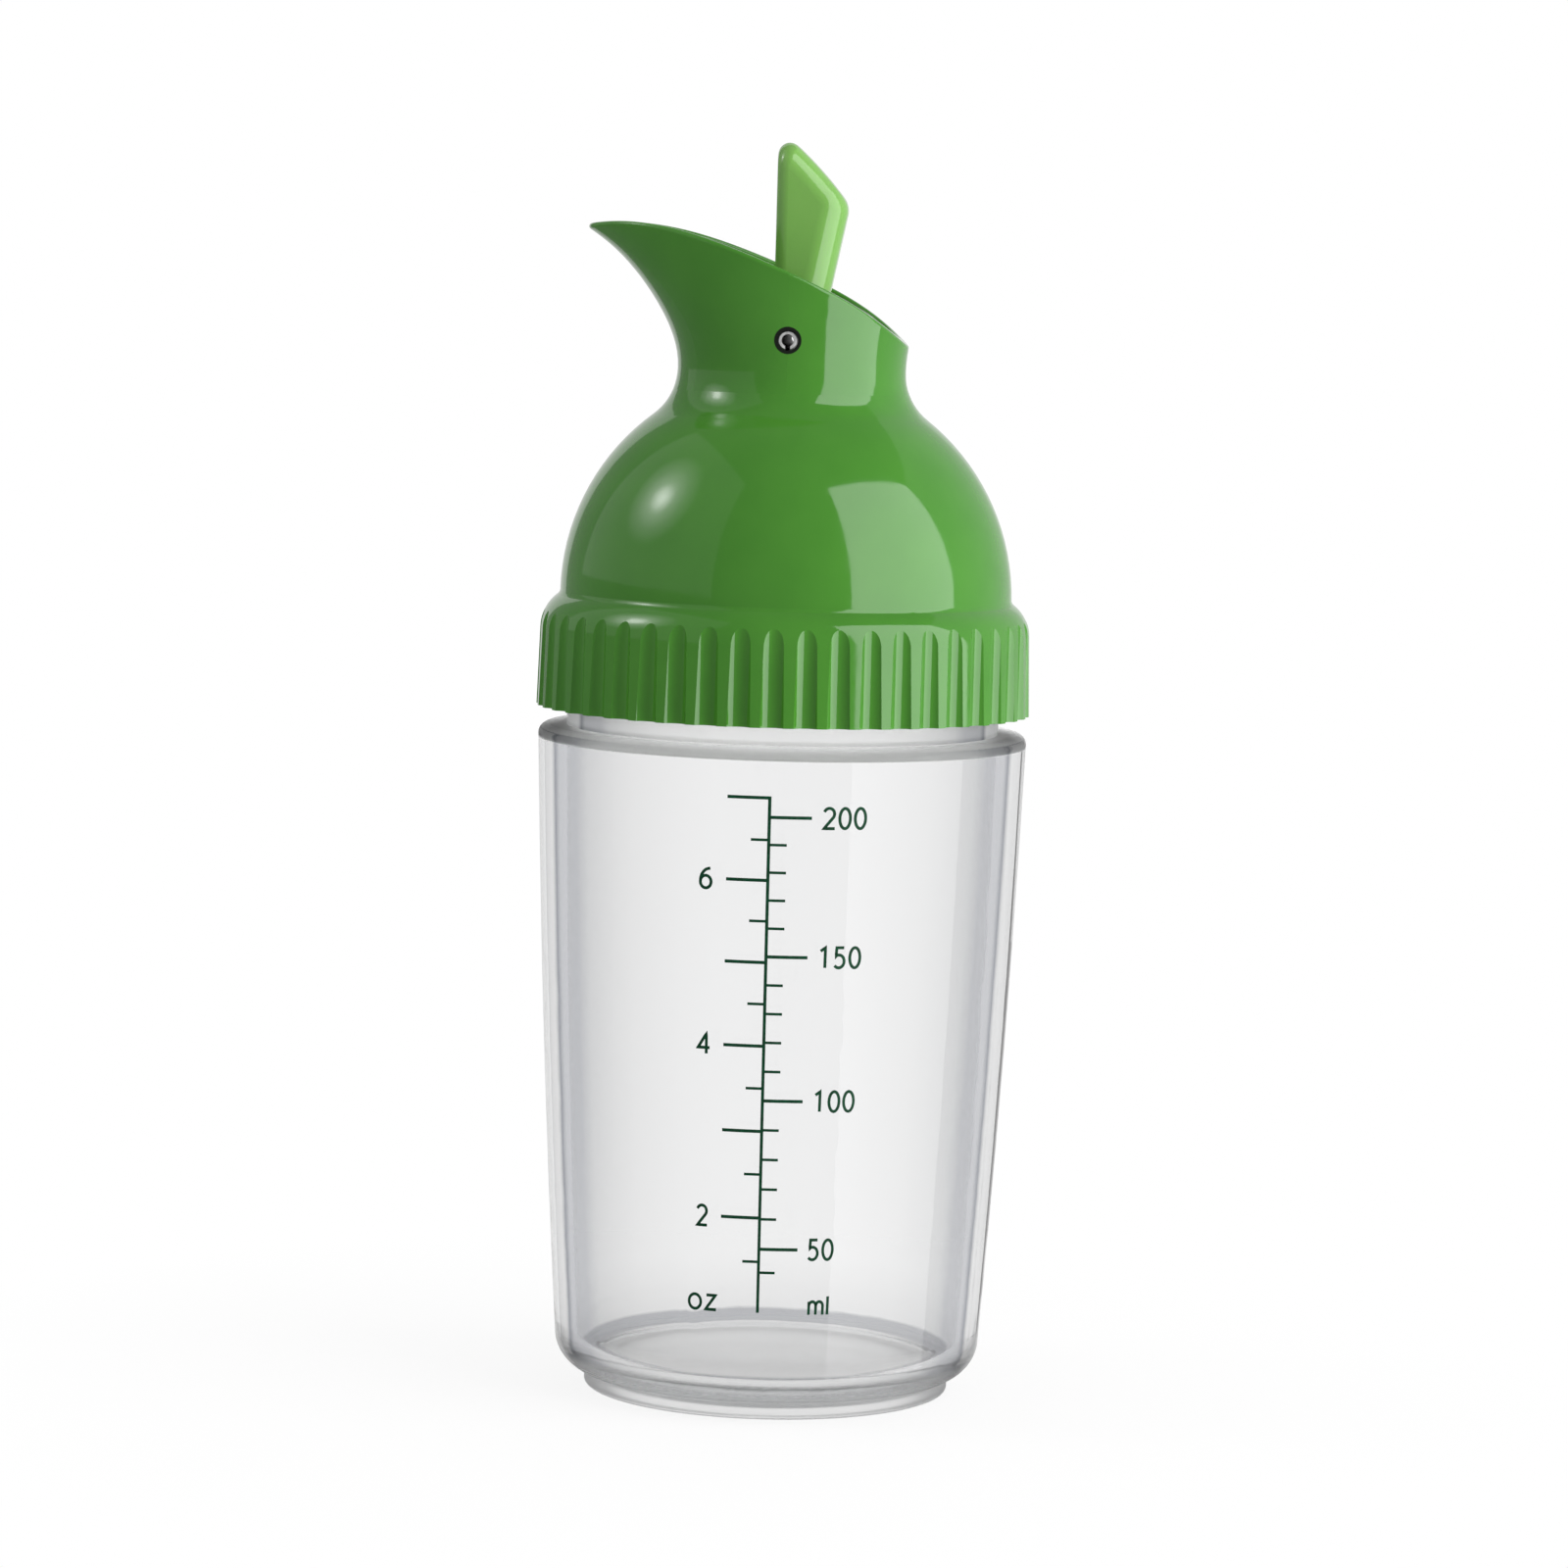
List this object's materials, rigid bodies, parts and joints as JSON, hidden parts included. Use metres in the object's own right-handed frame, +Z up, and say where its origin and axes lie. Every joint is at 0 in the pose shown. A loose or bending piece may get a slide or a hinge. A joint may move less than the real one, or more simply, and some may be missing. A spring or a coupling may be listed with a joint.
{
  "type": "dressing bottle",
  "caption": "Clear measuring tumbler with a screw-on domed cap, a beak-shaped pouring spout and a thumb lever that opens a valve in the neck.",
  "frame": {"origin": "centre of the foot, on the surface that the bottle stands on", "axes": "+Z up along the axis of the bottle; the spout points along -X; the hinge pin lies along Y"},
  "size_m": [0.069, 0.069, 0.1746],
  "materials": {
    "clear_plastic": "clear, polished",
    "cap_green": "glossy moulded",
    "lever_green": "satin moulded",
    "silicone": "matt, translucent white",
    "steel": "bright rolled"
  },
  "bodies": {
    "tumbler": {"tumbler": "clear_plastic"},
    "gasket": {"rim_gasket": "silicone"},
    "cap": {"cap": "cap_green", "hinge_pin": "steel"},
    "lever": {"lever": "lever_green", "valve_seal": "silicone", "seal_retainer": "lever_green"}
  },
  "joints": [
    {"name": "cap_lift", "type": "slide", "parent": "tumbler", "child": "gasket", "axis": [0, 0, 1], "range_m": [0, 0.01201]},
    {"name": "cap_turn", "type": "hinge", "parent": "gasket", "child": "cap", "pos_m": [0, 0, 0.109], "axis": [0, 0, 1], "range_deg": [0, 540]},
    {"name": "lever_flip", "type": "hinge", "parent": "cap", "child": "lever", "pos_m": [0, 0, 0.1475], "axis": [0, 1, 0], "range_deg": [0, 58]}
  ],
  "couplings": [
    {"joint": "cap_lift", "follows": "cap_turn", "m_per_rad": 0.0012732}
  ]
}
